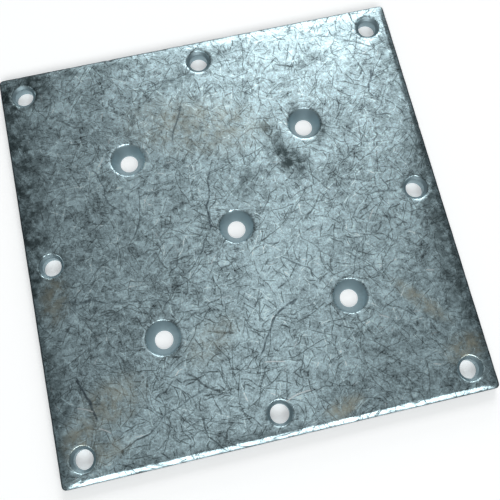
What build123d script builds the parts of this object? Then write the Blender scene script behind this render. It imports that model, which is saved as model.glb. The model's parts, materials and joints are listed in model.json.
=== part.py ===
"""Square steel cover plate with eight edge holes and five countersunk holes.

One piece of thick zinc-plated sheet. It lies on its underside, with the origin
in the middle of that face, +X and +Y along the sides and +Z up.
"""

import os

from build123d import *

# Driving dimensions, in millimetres and degrees.
plate_length = 150.0
plate_width = 150.0
plate_thickness = 5.0
corner_radius = 1.6

# The upper rim rolls over where the sheet was cut, and more so at the corners.
rim_width = 1.9
rim_drop = 0.7
rim_corner_radius = 3.6
rim_softening = 0.5
underside_break = 0.3

# Eight holes along the edges: the four corners and the middle of each side.
edge_hole_inset = 8.4
edge_hole_diameter = 6.6
edge_hole_mouth_diameter = 8.9
edge_hole_mouth_angle = 90.0

# Four countersunk holes on a square, and a fifth at its centre.
screw_spacing_x = 66.6
screw_spacing_y = 66.6
screw_hole_diameter = 6.4
countersink_diameter = 12.2
countersink_angle = 66.0

# The lip of every hole is softened by the plating.
hole_lip_radius = 0.25

# Where the edge holes and the rim come out, from the outline.
edge_hole_spacing_x = plate_length - 2 * edge_hole_inset
edge_hole_spacing_y = plate_width - 2 * edge_hole_inset
rim_start = plate_thickness - rim_drop


def edge_hole():
    """Cut a through hole with a small chamfer at its mouth."""
    CounterSinkHole(
        radius=edge_hole_diameter / 2,
        counter_sink_radius=edge_hole_mouth_diameter / 2,
        counter_sink_angle=edge_hole_mouth_angle,
    )


def screw_hole():
    """Cut a through hole with a deep countersink for a screw head."""
    CounterSinkHole(
        radius=screw_hole_diameter / 2,
        counter_sink_radius=countersink_diameter / 2,
        counter_sink_angle=countersink_angle,
    )


with BuildPart() as cover_plate:
    # The straight-sided slab, up to where the rim begins to roll over.
    with BuildSketch():
        RectangleRounded(plate_length, plate_width, corner_radius)
    extrude(amount=rim_start)
    chamfer(cover_plate.faces().sort_by(Axis.Z)[0].edges(), length=underside_break)

    # The rolled rim, from the full outline in to the flat top.
    with BuildSketch(Plane.XY.offset(rim_start)):
        RectangleRounded(plate_length, plate_width, corner_radius)
    with BuildSketch(Plane.XY.offset(plate_thickness)):
        RectangleRounded(plate_length - 2 * rim_width, plate_width - 2 * rim_width, rim_corner_radius)
    loft()
    fillet(cover_plate.edges().group_by(Axis.Z)[-1], radius=rim_softening)

    with Locations(Plane.XY.offset(plate_thickness)):
        # Edge holes: the four corners, then the middles of the sides.
        with GridLocations(edge_hole_spacing_x, edge_hole_spacing_y, 2, 2):
            edge_hole()
        with GridLocations(edge_hole_spacing_x, 0, 2, 1):
            edge_hole()
        with GridLocations(0, edge_hole_spacing_y, 1, 2):
            edge_hole()

        # Screw holes: one in the middle of four.
        screw_hole()
        with GridLocations(screw_spacing_x, screw_spacing_y, 2, 2):
            screw_hole()

    hole_edges = cover_plate.edges().filter_by(GeomType.CIRCLE).filter_by(lambda edge: edge.is_closed)
    fillet(hole_edges.group_by(Axis.Z)[-1], radius=hole_lip_radius)

cover_plate.part.label = "cover_plate"

os.makedirs("parts", exist_ok=True)
export_step(cover_plate.part, "parts/cover_plate.step")
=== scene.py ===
import json
import math
import random

import bpy
from mathutils import Euler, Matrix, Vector
from mathutils.geometry import delaunay_2d_cdt


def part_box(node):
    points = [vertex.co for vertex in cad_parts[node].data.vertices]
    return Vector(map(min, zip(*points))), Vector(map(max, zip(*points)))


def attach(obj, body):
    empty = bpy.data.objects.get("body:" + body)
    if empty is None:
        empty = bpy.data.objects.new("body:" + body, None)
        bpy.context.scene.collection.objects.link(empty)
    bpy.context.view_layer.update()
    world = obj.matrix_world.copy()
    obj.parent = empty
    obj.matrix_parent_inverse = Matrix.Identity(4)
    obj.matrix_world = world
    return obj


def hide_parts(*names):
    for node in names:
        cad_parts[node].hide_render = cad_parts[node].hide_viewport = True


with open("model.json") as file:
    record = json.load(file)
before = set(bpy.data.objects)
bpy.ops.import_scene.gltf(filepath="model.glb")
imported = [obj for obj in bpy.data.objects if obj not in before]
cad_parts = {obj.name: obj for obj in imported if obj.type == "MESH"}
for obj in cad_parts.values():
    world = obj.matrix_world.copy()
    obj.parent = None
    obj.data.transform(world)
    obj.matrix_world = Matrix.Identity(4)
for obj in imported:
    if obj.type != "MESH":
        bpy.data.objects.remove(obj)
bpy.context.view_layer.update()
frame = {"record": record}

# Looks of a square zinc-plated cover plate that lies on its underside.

MM = 0.001

# ---------------------------------------------------------------- sizes, in millimetres

# The outline, the thickness, the spacings and the hole radii come from the frame.
plate_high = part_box("cover_plate")[1]
half_side = plate_high[0] / MM
thickness = plate_high[2] / MM
mounts = {mount["name"]: mount["dims"] for mount in frame["record"]["mounts"]}
edge_reach = mounts["corner_holes"]["spacing_x_mm"] / 2
screw_reach = mounts["inner_screw_holes"]["spacing_x_mm"] / 2
edge_hole_radius = mounts["corner_holes"]["hole_r_mm"]
screw_hole_radius = mounts["inner_screw_holes"]["hole_r_mm"]

# The mouths of the holes, the straight land below a countersink and the rounded lip.
edge_mouth_radius = 4.45
edge_mouth_depth = edge_mouth_radius - edge_hole_radius
screw_mouth_radius = 6.1
screw_land = 0.535
lip_radius = 0.25

# The worn rim of the top face, and the corners of the outline.
rim_width = 1.9
rim_drop = 0.7
rim_curve = 1.2
side_corner = 1.6
top_corner = 3.6
underside_break = 0.3

# Fineness of the mesh: steps along a side, round a corner and round a hole, and spacing on
# each face, with jitter, clearance and row height as shares of that spacing.
side_steps = 176
corner_steps = 9
hole_steps = 96
top_step = 0.86
underside_step = 3.2
point_jitter = 0.22
point_clearance = 0.55
row_share = 0.866
crease_angle = 35.0

# How deep the relief wears the skin, and how large its features are.
relief_amounts = {
    "Wear Depth": 0.14, "Wear Size": 7.0, "Nick Depth": 0.22, "Nick Size": 2.6,
    "Wave Depth": 0.05, "Wave Size": 16.0, "Seed": 4.0,
}

edge_holes = [
    (x * edge_reach, y * edge_reach)
    for x in (-1, 0, 1) for y in (-1, 0, 1) if (x, y) != (0, 0)
]
screw_holes = [(0.0, 0.0)] + [
    (x * screw_reach, y * screw_reach) for x in (-1, 1) for y in (-1, 1)
]

# Marks on the top face: centre in millimetres, length and width from it, turn and strength.
# The first list holds dark smudges on the face, and painted shade in long bands along the edges
# and in the top-left corner.
smear_and_shade_marks = [
    ((20.5, 32.0), 5.0, 2.6, -62.0, 0.8),
    ((24.5, 21.0), 8.5, 3.8, -48.0, 0.88),
    ((6.5, 14.5), 6.5, 2.8, 52.0, 0.65),
    ((38.5, 29.0), 4.0, 2.2, 50.0, 0.65),
    ((31.0, 41.5), 4.5, 1.6, 70.0, 0.4),
    ((-73.0, 26.0), 52.0, 7.0, 88.0, 0.75),
    ((-69.0, 68.0), 16.0, 8.0, 24.0, 0.85),
    ((-7.5, 62.5), 8.0, 3.6, 30.0, 0.5),
    ((6.0, 68.0), 6.0, 2.6, -20.0, 0.35),
    ((-67.0, -7.0), 9.0, 5.5, 70.0, 0.5),
    ((73.0, -20.0), 50.0, 5.0, 90.0, 0.65),
    ((71.0, 56.0), 10.0, 2.6, 96.0, 0.45),
    ((-72.0, -46.0), 26.0, 3.2, 90.0, 0.5),
    ((-20.0, -72.5), 34.0, 1.8, 0.0, 0.45),
    ((-38.0, 73.0), 34.0, 1.8, 2.0, 0.5),
]
olive_patches = [
    ((-54.0, -50.5), 9.0, 6.0, 20.0, 0.4),
    ((-66.0, -59.5), 6.5, 4.5, 60.0, 0.5),
    ((57.0, -40.5), 9.0, 2.2, -50.0, 0.6),
    ((67.0, -59.5), 6.0, 4.0, 10.0, 0.55),
    ((21.5, -69.5), 5.5, 2.6, 15.0, 0.6),
    ((-6.0, 41.0), 20.0, 9.0, -15.0, 0.3),
    ((-67.5, -12.0), 7.0, 4.0, 80.0, 0.4),
    ((-60.0, -66.0), 8.0, 3.0, 10.0, 0.35),
    ((-17.0, -38.0), 9.0, 5.0, 30.0, 0.2),
]

# Single scratches on the top face: ends in millimetres, then bow, width and strength.
# The dark scratches below get painted shade in their colour, standing in for the shade in their
# grooves.
dark_scores = [
    ((16.5, -27.8), (-1.4, -47.5), -2.0, 0.90, 0.90),
    ((-4.4, 24.7), (-11.3, -0.8), 0.9, 0.77, 0.88),
    ((-32.1, 21.1), (-35.6, 2.8), 0.8, 0.68, 0.74),
    ((-66.3, -38.6), (-60.9, -56.6), 0.9, 0.90, 0.90),
    ((-50.7, -65.5), (-22.0, -52.0), 1.0, 0.59, 0.68),
    ((63.4, 50.9), (58.2, 40.6), 1.2, 0.90, 0.90),
    ((-67.0, -12.0), (-24.0, -26.0), 1.5, 0.51, 0.68),
    ((-11.3, -0.8), (-24.0, -14.0), 0.6, 0.59, 0.68),
    ((14.0, -14.0), (24.0, -23.0), 0.4, 0.59, 0.68),
    ((-9.0, 52.0), (-14.0, 36.0), -1.0, 0.77, 0.81),
    ((33.0, -40.0), (44.0, -12.0), 1.6, 0.51, 0.61),
    ((-48.0, 34.0), (-40.0, 12.0), 1.2, 0.59, 0.68),
]
bright_scores = [
    ((1.6, -64.2), (12.4, -61.6), 0.9, 0.4, 0.8),
    ((-66.0, -50.0), (-60.5, -52.5), 0.3, 0.35, 0.8),
    ((-1.5, -49.0), (6.0, -50.5), 0.2, 0.35, 0.75),
    ((61.5, -30.2), (64.5, -31.0), 0.0, 0.35, 0.8),
    ((41.0, -42.0), (44.5, -43.8), 0.1, 0.35, 0.7),
    ((-60.0, -58.0), (-56.0, -60.5), 0.2, 0.35, 0.8),
    ((47.0, -8.0), (49.5, -4.5), 0.1, 0.35, 0.6),
    ((-12.0, -12.0), (-9.5, -8.5), 0.1, 0.3, 0.5),
]

# Scattered scratches, layer by layer: shift of the random pattern, size of its cells,
# length, width, bow and the share of cells that hold one.
fine_layers = [
    ((0.0, 0.0, 0.0), 13.0, 13.0, 0.36, 0.05, 0.85),
    ((211.3, 47.9, 0.0), 16.0, 17.0, 0.36, 0.03, 0.8),
    ((-73.1, 318.2, 0.0), 10.0, 10.0, 0.38, 0.09, 0.85),
    ((402.7, -151.6, 0.0), 8.0, 8.0, 0.34, 0.12, 0.85),
    ((-260.4, -93.8, 0.0), 6.5, 6.0, 0.36, 0.18, 0.85),
    ((95.6, 512.9, 0.0), 11.0, 12.0, 0.32, 0.06, 0.8),
    ((-388.2, 266.1, 0.0), 5.0, 4.2, 0.34, 0.25, 0.85),
    ((618.4, 39.7, 0.0), 9.0, 9.0, 0.32, 0.1, 0.85),
    ((-511.9, -402.3, 0.0), 4.0, 3.0, 0.34, 0.3, 0.8),
]
bold_layers = [
    ((777.1, 205.3, 0.0), 14.0, 12.0, 0.62, 0.05, 0.5),
    ((-640.8, 88.2, 0.0), 8.0, 4.5, 0.5, 0.16, 0.4),
]
pale_layers = [
    ((-35.5, -720.4, 0.0), 9.0, 9.0, 0.26, 0.1, 0.8),
    ((344.4, 644.2, 0.0), 5.5, 5.0, 0.26, 0.2, 0.8),
]
# The last layer holds short marks painted near-white as glints.
glint_layer = ((171.7, -333.1, 0.0), 7.0, 2.4, 0.3, 0.1, 0.3)

# How far the scratches lean with height, so that they run on down the walls, and how far
# they stray from straight.
slant_x, slant_y = 0.7, 0.4
sway_width = 9.0

# Colours of the finish.
bright_zinc = (0.46, 0.605, 0.65)
# A darker copy of the bright zinc: painted shade for inside the holes.
hole_shade_zinc = (0.35, 0.46, 0.5)
# Near-white painted glint for short marks on the top face.
glint_white = (0.8, 0.86, 0.88)
# Near-black painted shade for the dark single scratches.
scratch_painted_shade = (0.08, 0.11, 0.13)
clean_scratch = (0.9, 0.94, 0.95)
# Dark colour for smudges and for painted shade along the edges.
dirt_and_shade = (0.06, 0.085, 0.09)
olive_stain = (0.5, 0.5, 0.4)
# Painted shade for the dark line along the outline.
edge_shade_colour = (0.07, 0.09, 0.1)


# ---------------------------------------------------------------- the plate's closed skin

class Skin:
    """The points and faces of the plate, gathered ring by ring."""

    def __init__(self):
        self.points = []
        self.wear = []
        self.faces = []

    def ring(self, points, wear):
        """Add a closed ring of points and return their numbers."""
        first = len(self.points)
        self.points.extend(points)
        self.wear.extend([wear] * len(points))
        return list(range(first, len(self.points)))

    def band(self, near, far):
        """Join two rings with faces that point outwards from the first one's left."""
        count = len(near)
        for step in range(count):
            after = (step + 1) % count
            self.faces.append((near[step], near[after], far[after], far[step]))

    def sheet(self, outline, mouths, spacing, wear, facing_up, seed):
        """Fill a flat face between its outline and its hole mouths with small triangles."""
        chance = random.Random(seed)
        z = self.points[outline[0]][2]
        reach = max(self.points[number][0] for number in outline)
        circles = []
        for mouth in mouths:
            centre_x = sum(self.points[number][0] for number in mouth) / len(mouth)
            centre_y = sum(self.points[number][1] for number in mouth) / len(mouth)
            radius = math.hypot(
                self.points[mouth[0]][0] - centre_x, self.points[mouth[0]][1] - centre_y
            )
            circles.append((centre_x, centre_y, radius))

        inner = []
        clearance = point_clearance * spacing
        rows = int(2 * reach / (spacing * row_share))
        columns = int(2 * reach / spacing)
        for row in range(rows + 1):
            for column in range(columns + 1):
                x = -reach + (column + 0.5 * (row % 2)) * spacing
                y = -reach + row * spacing * row_share
                x += chance.uniform(-point_jitter, point_jitter) * spacing
                y += chance.uniform(-point_jitter, point_jitter) * spacing
                inside = reach - clearance
                if abs(x) > inside or abs(y) > inside:
                    continue
                corner = math.hypot(
                    max(abs(x) - reach + top_corner, 0), max(abs(y) - reach + top_corner, 0)
                )
                if corner > top_corner - clearance:
                    continue
                if any(math.hypot(x - cx, y - cy) < r + clearance for cx, cy, r in circles):
                    continue
                inner.append((x, y, z))
        loose = self.ring(inner, wear)

        loops = [outline] + mouths
        numbers = [number for loop in loops for number in loop] + loose
        flat = [Vector(self.points[number][:2]) for number in numbers]
        edges = []
        first = 0
        for loop in loops:
            count = len(loop)
            edges += [(first + step, first + (step + 1) % count) for step in range(count)]
            first += count
        made = delaunay_2d_cdt(flat, edges, [], 0, 1e-5)
        places, triangles, origins = made[0], made[2], made[3]
        shrink = math.cos(math.pi / hole_steps)
        for triangle in triangles:
            a, b, c = (places[corner] for corner in triangle)
            middle = (a + b + c) / 3
            if any(math.hypot(middle.x - cx, middle.y - cy) < r * shrink for cx, cy, r in circles):
                continue
            turned = [numbers[origins[corner][0]] for corner in triangle]
            counterclockwise = (b - a).cross(c - a) > 0
            if counterclockwise != facing_up:
                turned.reverse()
            self.faces.append(tuple(turned))


def patch_share(point, patches):
    """How much of the strongest patch lies on a point of the top face."""
    best = 0.0
    if point[2] < thickness - rim_drop - 0.1:
        return best
    for centre, long, wide, turn, strength in patches:
        cosine, sine = math.cos(math.radians(turn)), math.sin(math.radians(turn))
        x, y = point[0] - centre[0], point[1] - centre[1]
        spread = math.hypot((x * cosine + y * sine) / long, (y * cosine - x * sine) / wide)
        best = max(best, strength * min(max((1.6 - spread) / 1.0, 0.0), 1.0))
    return best


def square_ring(inset, corner, z):
    """Points round a rounded square, the same number whatever its size."""
    half = half_side - inset
    points = []
    for turn in range(4):
        cosine, sine = round(math.cos(turn * math.pi / 2)), round(math.sin(turn * math.pi / 2))
        quarter = []
        for step in range(side_steps):
            quarter.append((half, (half - corner) * (2 * step / side_steps - 1)))
        for step in range(corner_steps):
            angle = math.pi / 2 * step / corner_steps
            quarter.append((
                half - corner + corner * math.cos(angle),
                half - corner + corner * math.sin(angle),
            ))
        points += [(x * cosine - y * sine, x * sine + y * cosine, z) for x, y in quarter]
    return points


def round_ring(centre, radius, z):
    """Points round a hole."""
    turns = [2 * math.pi * step / hole_steps for step in range(hole_steps)]
    return [
        (centre[0] + radius * math.cos(turn), centre[1] + radius * math.sin(turn), z)
        for turn in turns
    ]


def hole(skin, centre, stations):
    """Line a hole from its mouth down, and return its top and bottom rings."""
    rings = [skin.ring(round_ring(centre, radius, z), wear) for radius, z, wear in stations]
    for upper, lower in zip(rings, rings[1:]):
        skin.band(upper, lower)
    return rings[0], rings[-1]


def cone_stations(mouth, foot, foot_z):
    """Radius, height and wear down a countersink, from the lip to its foot."""
    top = thickness
    stations = [
        (mouth + 1.3 * lip_radius, top, 0.5),
        (mouth + 0.45 * lip_radius, top - 0.04, 0.8),
        (mouth - 0.1 * lip_radius, top - 0.15, 0.7),
    ]
    for share in (0.12, 0.3, 0.5, 0.7, 0.88, 0.97):
        radius = mouth + (foot - mouth) * share
        stations.append((radius, top + (foot_z - top) * share, 0.12))
    stations.append((foot, foot_z, 0.2))
    return stations


def plate_skin():
    """Build the whole closed skin of the plate."""
    skin = Skin()
    drops = [(inset, rim_drop * (1 - inset / rim_width) ** rim_curve) for inset in
             (0.32, 0.5, 0.75, 1.0, 1.25, 1.5, 1.72)]
    stations = [
        (underside_break, 0.0, 0.0),
        (0.1, 0.08, 0.2),
        (0.0, underside_break, 0.2),
        (0.0, 1.3, 0.25),
        (0.0, 2.4, 0.25),
        (0.0, 3.4, 0.3),
        (0.0, thickness - rim_drop - 0.22, 0.5),
        (0.04, thickness - rim_drop - 0.03, 0.8),
        (0.14, thickness - rim_drop + 0.07, 1.0),
    ]
    stations += [(inset, thickness - drop, 1.0) for inset, drop in drops]
    stations += [
        (rim_width, thickness - 0.012, 0.8),
        (rim_width + 0.35, thickness, 0.5),
    ]
    rings = []
    for inset, z, wear in stations:
        share = min(inset / rim_width, 1.0) if z > thickness / 2 else 0.0
        corner = side_corner + (top_corner - side_corner) * share
        rings.append(skin.ring(square_ring(inset, corner, z), wear))
    for lower, upper in zip(rings, rings[1:]):
        skin.band(lower, upper)

    mouths, feet = [], []
    for centre in edge_holes:
        stations = cone_stations(
            edge_mouth_radius, edge_hole_radius, thickness - edge_mouth_depth
        )
        stations += [(edge_hole_radius, z, 0.1) for z in (3.0, 2.0, 1.0)]
        stations.append((edge_hole_radius, 0.0, 0.0))
        mouth, foot = hole(skin, centre, stations)
        mouths.append(mouth)
        feet.append(foot)
    for centre in screw_holes:
        stations = cone_stations(screw_mouth_radius, screw_hole_radius, screw_land)
        stations.append((screw_hole_radius, 0.0, 0.0))
        mouth, foot = hole(skin, centre, stations)
        mouths.append(mouth)
        feet.append(foot)

    skin.sheet(rings[-1], mouths, top_step, 0.25, True, 11)
    skin.sheet(rings[0], feet, underside_step, 0.0, False, 12)
    return skin


# ---------------------------------------------------------------- node trees

class Wire:
    """A socket that works in plain arithmetic: each operation adds one Math node."""

    def __init__(self, board, socket):
        self.board = board
        self.socket = socket

    def work(self, operation, left, right=None):
        kind = "ShaderNodeVectorMath" if self.socket.type == "VECTOR" else "ShaderNodeMath"
        values = (left,) if right is None else (left, right)
        return self.board.node(kind, {"operation": operation}, *values)[0]

    def __add__(self, other):
        return self.work("ADD", self, other)

    def __radd__(self, other):
        return self.work("ADD", other, self)

    def __sub__(self, other):
        return self.work("SUBTRACT", self, other)

    def __rsub__(self, other):
        return self.work("SUBTRACT", other, self)

    def __mul__(self, other):
        return self.work("MULTIPLY", self, other)

    def __rmul__(self, other):
        return self.work("MULTIPLY", other, self)

    def __truediv__(self, other):
        return self.work("DIVIDE", self, other)

    def __rtruediv__(self, other):
        return self.work("DIVIDE", other, self)

    def __abs__(self):
        return self.work("ABSOLUTE", self)

    def __pow__(self, power):
        return self.work("POWER", self, power)

    def least(self, other):
        return self.work("MINIMUM", self, other)

    def most(self, other):
        return self.work("MAXIMUM", self, other)


class Outlets:
    """The outputs of one node, by number or by name."""

    def __init__(self, board, made):
        self.board = board
        self.made = made

    def __getitem__(self, key):
        usable = [socket for socket in self.made.outputs if socket.enabled]
        if isinstance(key, int):
            return Wire(self.board, usable[key])
        return Wire(self.board, next(socket for socket in usable if socket.name == key))


class Board:
    """A node tree, with one way to add a node to it."""

    def __init__(self, tree):
        self.tree = tree

    def node(self, kind, settings=None, *values, **named):
        """Add a node: its settings first, then its inputs in order or by name."""
        made = self.tree.nodes.new(kind)
        for name, value in (settings or {}).items():
            setattr(made, name, value)
        sockets = [socket for socket in made.inputs if socket.enabled]
        pairs = list(zip(sockets, values))
        for name, value in named.items():
            wanted = name.replace("_", " ").lower()
            pairs.append((next(s for s in sockets if s.name.lower() == wanted), value))
        for socket, value in pairs:
            if isinstance(value, Wire):
                self.tree.links.new(value.socket, socket)
            elif value is not None:
                if socket.type == "VECTOR" and isinstance(value, (int, float)):
                    value = (value, value, value)
                if socket.type == "RGBA" and len(value) == 3:
                    value = (*value, 1.0)
                socket.default_value = value
        return Outlets(self, made)

    def fade(self, value, start, end):
        """0 at start, 1 at end, smooth between."""
        settings = {"interpolation_type": "SMOOTHSTEP"}
        return self.node("ShaderNodeMapRange", settings, value, start, end, 0.0, 1.0)[0]

    def noise(self, place, scale, detail, rough, warp=0.0):
        """A soft random value from 0 to 1, with its scale in features per millimetre."""
        return self.node(
            "ShaderNodeTexNoise", {}, Vector=place, Scale=scale, Detail=detail,
            Roughness=rough, Distortion=warp,
        )["Fac"]

    def blend(self, share, first, second):
        """Mix two colours."""
        settings = {"data_type": "RGBA", "clamp_factor": True}
        return self.node("ShaderNodeMix", settings, share, first, second)[0]

    def parts(self, vector):
        """The three numbers of a vector."""
        made = self.node("ShaderNodeSeparateXYZ", {}, vector)
        return made[0], made[1], made[2]


# ---------------------------------------------------------------- relief of the worn skin

def relief_tree():
    """A tree that wears the plate's skin inwards: uneven rim, soft lips, faint waves."""
    tree = bpy.data.node_groups.new("plate_relief", "GeometryNodeTree")
    sockets = tree.interface
    sockets.new_socket("Plate", in_out="INPUT", socket_type="NodeSocketGeometry")
    for name in ("Wear Depth", "Wear Size", "Nick Depth", "Nick Size", "Wave Depth", "Wave Size"):
        sockets.new_socket(name, in_out="INPUT", socket_type="NodeSocketFloat")
    sockets.new_socket("Seed", in_out="INPUT", socket_type="NodeSocketFloat")
    sockets.new_socket("Finish", in_out="INPUT", socket_type="NodeSocketMaterial")
    sockets.new_socket("Plate", in_out="OUTPUT", socket_type="NodeSocketGeometry")

    board = Board(tree)
    given = board.node("NodeGroupInput")
    place = board.node("GeometryNodeInputPosition")[0] * (1 / MM)
    share = board.node(
        "GeometryNodeInputNamedAttribute", {"data_type": "FLOAT"}, "wear_share"
    )["Attribute"]
    normal = board.node("GeometryNodeInputNormal")[0]
    settings = {"noise_dimensions": "4D"}

    def field(size, seed, detail):
        return board.node(
            "ShaderNodeTexNoise", settings, Vector=place, W=seed, Scale=1 / size, Detail=detail
        )["Fac"]

    seed = given["Seed"]
    rubbed = board.fade(field(given["Wear Size"], seed, 3.0), 0.35, 0.75)
    nicked = board.fade(field(given["Nick Size"], seed + 7.3, 1.0), 0.62, 0.8)
    waved = field(given["Wave Size"], seed + 3.1, 1.0)
    depth = share * (given["Wear Depth"] * rubbed + given["Nick Depth"] * nicked)
    depth = depth + given["Wave Depth"] * waved * board.fade(share, 0.0, 0.2)
    offset = board.node("ShaderNodeVectorMath", {"operation": "SCALE"}, normal, Scale=depth * -MM)
    moved = board.node("GeometryNodeSetPosition", {}, given["Plate"], Offset=offset[0])
    real = board.node("GeometryNodeRealizeInstances", {}, moved[0])
    clad = board.node("GeometryNodeSetMaterial", {}, real[0], Material=given["Finish"])
    board.node("NodeGroupOutput", {}, clad[0])
    return tree


def worn_plate(finish):
    """The finished plate as a plain mesh."""
    skin = plate_skin()
    mesh = bpy.data.meshes.new("plate_skin")
    mesh.from_pydata([[value * MM for value in point] for point in skin.points], [], skin.faces)
    mesh.attributes.new("wear_share", "FLOAT", "POINT").data.foreach_set("value", skin.wear)
    for name, patches in (("dulled", smear_and_shade_marks), ("stained", olive_patches)):
        shares = [patch_share(point, patches) for point in skin.points]
        mesh.attributes.new(name, "FLOAT", "POINT").data.foreach_set("value", shares)
    mesh.update()
    blank = bpy.data.objects.new("plate_blank", mesh)
    bpy.context.scene.collection.objects.link(blank)

    tree = relief_tree()
    modifier = blank.modifiers.new("relief", "NODES")
    modifier.node_group = tree
    amounts = {**relief_amounts, "Finish": finish}
    for item in tree.interface.items_tree:
        if item.in_out == "INPUT" and item.name in amounts:
            modifier[item.identifier] = amounts[item.name]
    bpy.context.view_layer.update()
    graph = bpy.context.evaluated_depsgraph_get()
    made = bpy.data.meshes.new_from_object(blank.evaluated_get(graph))
    blank.modifiers.clear()
    bpy.data.objects.remove(blank)
    made.name = "worn_plate"
    made.shade_smooth()
    made.set_sharp_from_angle(angle=math.radians(crease_angle))
    plate = bpy.data.objects.new("worn_plate", made)
    bpy.context.scene.collection.objects.link(plate)
    return plate


# ---------------------------------------------------------------- zinc finish

def strongest(masks):
    """The greatest of several masks at each point."""
    best = None
    for mask in masks:
        best = mask if best is None else best.most(mask)
    return best


def scratches(board, flat, shift, size, length, width, bow, share):
    """One thin curved scratch in most cells of a random pattern, with its strength."""
    place = flat + shift
    cell = board.node(
        "ShaderNodeTexVoronoi", {"voronoi_dimensions": "2D"}, Vector=place, Scale=1 / size
    )
    across, along, _ = board.parts(place - cell["Position"])
    tint = board.node("ShaderNodeSeparateColor", {}, cell["Color"])
    turn = tint[0] * (2 * math.pi)
    cosine = turn.work("COSINE", turn)
    sine = turn.work("SINE", turn)
    run = across * cosine + along * sine
    off = along * cosine - across * sine + run * run * (tint[1] - 0.5) * bow
    thin = board.fade(abs(off), width * 0.75, width * 0.15)
    short = board.fade(abs(run), length * 0.5, length * 0.38)
    there = board.fade(tint[2], 1 - share, 1 - share + 0.45)
    return thin * short * there


def scored_line(board, flat, start, end, bow, width):
    """One scratch between two points, bowed sideways by the given distance."""
    middle = ((start[0] + end[0]) / 2, (start[1] + end[1]) / 2, 0.0)
    half = math.hypot(end[0] - start[0], end[1] - start[1]) / 2
    cosine = (end[0] - start[0]) / (2 * half)
    sine = (end[1] - start[1]) / (2 * half)
    x, y, _ = board.parts(flat - middle)
    run = (x * cosine + y * sine) * (1 / half)
    off = y * cosine - x * sine - bow * (1 - run * run)
    return board.fade(abs(off), width * 0.7, width * 0.2) * board.fade(abs(run), 1.0, 0.8)


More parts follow.
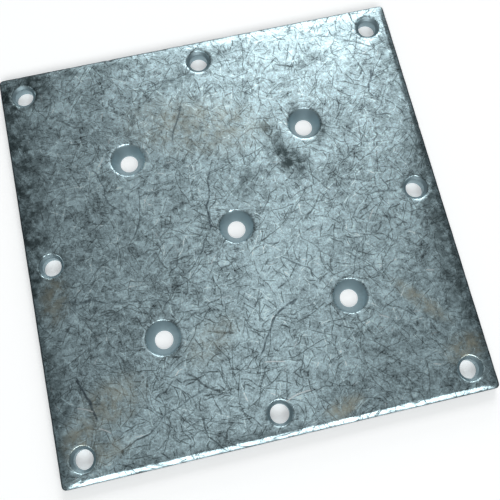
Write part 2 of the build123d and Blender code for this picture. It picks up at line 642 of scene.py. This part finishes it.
def zinc_finish():
    """Bright zinc on steel: cloudy and finely scratched, with painted shade in the dark scratches,
    along the edges and inside the holes, which are also rougher, and painted glints on short
    marks.
    """
    material = bpy.data.materials.new("zinc_plated_steel")
    material.use_nodes = True
    tree = material.node_tree
    shader = tree.nodes["Principled BSDF"]
    board = Board(tree)

    place = board.node("ShaderNodeTexCoord")["Object"] * (1 / MM)
    x, y, z = board.parts(place)
    slant = board.node("ShaderNodeCombineXYZ", {}, x + z * slant_x, y + z * slant_y, 0.0)[0]
    drift = board.node(
        "ShaderNodeTexNoise", {}, Vector=place, Scale=0.07, Detail=2.0, Roughness=0.5
    )["Color"]
    sway = board.node(
        "ShaderNodeVectorMath", {"operation": "MULTIPLY_ADD"}, drift, sway_width, slant
    )[0]
    top = board.fade(z, 3.2, 4.0)
    raised = (slant_x * thickness, slant_y * thickness, 0.0)
    mean_sway = (sway_width / 2, sway_width / 2, 0.0)

    # Where a point lies, by distance from the outline and from the holes.
    away_x, away_y = abs(x), abs(y)
    inset = half_side - away_x.most(away_y)

    def reach(centre_x, centre_y):
        across = away_x - centre_x
        along = away_y - centre_y
        return (across * across + along * along) ** 0.5

    to_screw = reach(0.0, 0.0).least(reach(screw_reach, screw_reach)) - screw_mouth_radius
    to_edge = reach(edge_reach, edge_reach).least(
        reach(edge_reach, 0.0).least(reach(0.0, edge_reach))) - edge_mouth_radius
    to_hole = to_screw.least(to_edge)

    # Cloudy zinc, from broad clouds down to grain.
    broad = board.noise(place, 0.028, 2.0, 0.5)
    cloud = board.noise(place, 0.11, 3.0, 0.6, 0.6)
    mottle = board.noise(place, 0.45, 3.0, 0.65, 0.8)
    grain = board.noise(place, 1.9, 3.0, 0.7)
    shade = (1.0 + (broad - 0.5) * 0.4 + (cloud - 0.5) * 1.35 + (mottle - 0.5) * 2.1
             + (grain - 0.5) * 2.1)

    # Fine scratches at every angle and some bold ones, their darkness painted shade from their
    # grooves, and pale ones that lighten the zinc.
    lines = strongest(scratches(board, sway, *layer) for layer in fine_layers)
    fine = board.noise(sway * (0.3, 2.2, 1.0), 0.9, 2.0, 0.6)
    broken = board.fade(board.noise(place, 0.8, 2.0, 0.6), 0.3, 0.6)
    lines = lines * (0.35 + broken * 0.65)
    bold = strongest(scratches(board, sway, *layer) for layer in bold_layers)
    lines = lines.most(bold * (0.5 + broken * 0.5))
    pale = strongest(scratches(board, sway, *layer) for layer in pale_layers)
    painted_glints = scratches(board, sway, *glint_layer)

    # Painted shade: the scratch lines darken the colour as the shade in their grooves would.
    shade = shade * (1.0 - lines * 0.72) * (1.0 + pale * 0.6) + (fine - 0.5) * 0.5

    colour = board.node(
        "ShaderNodeVectorMath", {"operation": "SCALE"}, bright_zinc, Scale=shade
    )[0]
    # Painted glints: short marks on the top face turn near-white.
    colour = board.blend(painted_glints * top * 0.8, colour, glint_white)

    # Smudges and painted shade in bands along the edges, stains, and single scratches, the dark
    # ones with painted shade, each where it lies on the plate.
    ragged = board.noise(place, 0.35, 3.0, 0.65)
    clinging = 0.25 + board.fade(ragged, 0.34, 0.64) * 0.95
    # Smudges, and painted shade in bands along the edges and in the top-left corner.
    dulled = board.node("ShaderNodeAttribute", {"attribute_name": "dulled"})["Fac"] * clinging
    colour = board.blend(dulled, colour, dirt_and_shade)
    stained = board.node("ShaderNodeAttribute", {"attribute_name": "stained"})["Fac"] * clinging
    colour = board.blend(stained, colour, olive_stain)
    # Painted shade: the dark single scratches take a near-black colour.
    scored = strongest(
        scored_line(board, sway - raised - mean_sway, *shape) * strength
        for *shape, strength in dark_scores
    )
    colour = board.blend(scored * top * (0.5 + broken * 0.5), colour, scratch_painted_shade)
    bright = strongest(
        scored_line(board, slant - raised, *shape) * strength
        for *shape, strength in bright_scores
    )
    colour = board.blend(bright * top, colour, clean_scratch)

    # Painted shade in a dark line along the outline, over the outer rim and down the side wall,
    # and darker, rougher zinc down inside the holes, its darkness painted shade.
    # Painted shade: the outer rim and side wall darken towards the outline.
    painted_edge_shade = board.fade(inset + (ragged - 0.5) * 0.8, 0.8, 0.35)
    colour = board.blend(painted_edge_shade * 0.82, colour, edge_shade_colour)
    # Painted shade: the holes take a darker copy of the zinc, with a rougher finish as well.
    inside = board.fade(to_hole, 0.05, -0.35)
    colour = board.blend(inside, colour, hole_shade_zinc)

    rough = 0.3 + (mottle - 0.5) * 0.2 + lines * 0.16
    rough = board.node("ShaderNodeMix", {"data_type": "FLOAT"}, inside, rough, 0.5)[0]

    height = (mottle - 0.5) * 0.6 + (grain - 0.5) * 0.25 - bold * 0.5
    bump = board.node("ShaderNodeBump", {}, Strength=0.35, Distance=0.00006, Height=height)[0]

    tree.links.new(colour.socket, shader.inputs["Base Color"])
    tree.links.new(rough.socket, shader.inputs["Roughness"])
    tree.links.new(bump.socket, shader.inputs["Normal"])
    shader.inputs["Metallic"].default_value = 1.0
    return material


# ---------------------------------------------------------------- the plate itself

zinc = zinc_finish()
plate = worn_plate(zinc)
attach(plate, "root")
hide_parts("cover_plate")

# ---------------------------------------------------------------- floor, light and camera

scene = bpy.context.scene
scene.view_settings.view_transform = "Standard"

floor_size = 30
floor_glow = 0.34
sky_colour = (0.93, 0.98, 1.0, 1)
sky_strength = 0.2

bpy.ops.mesh.primitive_plane_add(size=floor_size)
floor = bpy.context.object
floor.name = "pale_floor"
floor_finish = bpy.data.materials.new("pale_floor")
floor_finish.use_nodes = True
floor_shader = floor_finish.node_tree.nodes["Principled BSDF"]
floor_shader.inputs["Base Color"].default_value = (0.93, 0.94, 0.94, 1)
floor_shader.inputs["Roughness"].default_value = 0.9
floor_shader.inputs["Specular IOR Level"].default_value = 0.0
floor_board = Board(floor_finish.node_tree)
ray = floor_board.node("ShaderNodeLightPath")
seen = ray["Is Camera Ray"].most(ray["Is Glossy Ray"]).most(ray["Is Transmission Ray"])
glow = seen * floor_glow
floor_shader.inputs["Emission Color"].default_value = (1, 1, 1, 1)
floor_finish.node_tree.links.new(glow.socket, floor_shader.inputs["Emission Strength"])
floor.data.materials.append(floor_finish)

world = bpy.data.worlds.new("studio")
scene.world = world
world.use_nodes = True
sky = world.node_tree.nodes["Background"]
sky.inputs["Color"].default_value = sky_colour
sky.inputs["Strength"].default_value = sky_strength


def panel(name, place, width, height, glow):
    """A soft lamp that faces the plate; glow is how bright its face looks."""
    lamp = bpy.data.lights.new(name, "AREA")
    lamp.shape = "RECTANGLE"
    lamp.size = width
    lamp.size_y = height
    lamp.energy = glow * 4 * width * height
    holder = bpy.data.objects.new(name, lamp)
    holder.location = place
    holder.rotation_euler = (-Vector(place)).to_track_quat("-Z", "Y").to_euler()
    scene.collection.objects.link(holder)


panel("back_panel", (0.3, 0.87, 0.92), 0.6, 0.5, 3.2)
panel("low_back_panel", (0.3, 1.1, 0.42), 0.8, 0.35, 2.2)
panel("overhead_panel", (0.08, 0.14, 1.2), 0.25, 0.9, 0.64)
panel("front_panel", (0.0, -1.0, 1.05), 1.1, 0.5, 4.0)

camera = bpy.data.cameras.new("camera")
camera.sensor_width = 36.0
camera.lens = 57.6
camera.shift_y = -0.0677
camera.clip_start = 0.01
eye = bpy.data.objects.new("camera", camera)
eye.location = (-0.015872, -0.075707, 0.280027)
eye.rotation_euler = Euler([math.radians(turn) for turn in (16.4222, -0.7006, -12.9055)])
scene.collection.objects.link(eye)
scene.camera = eye
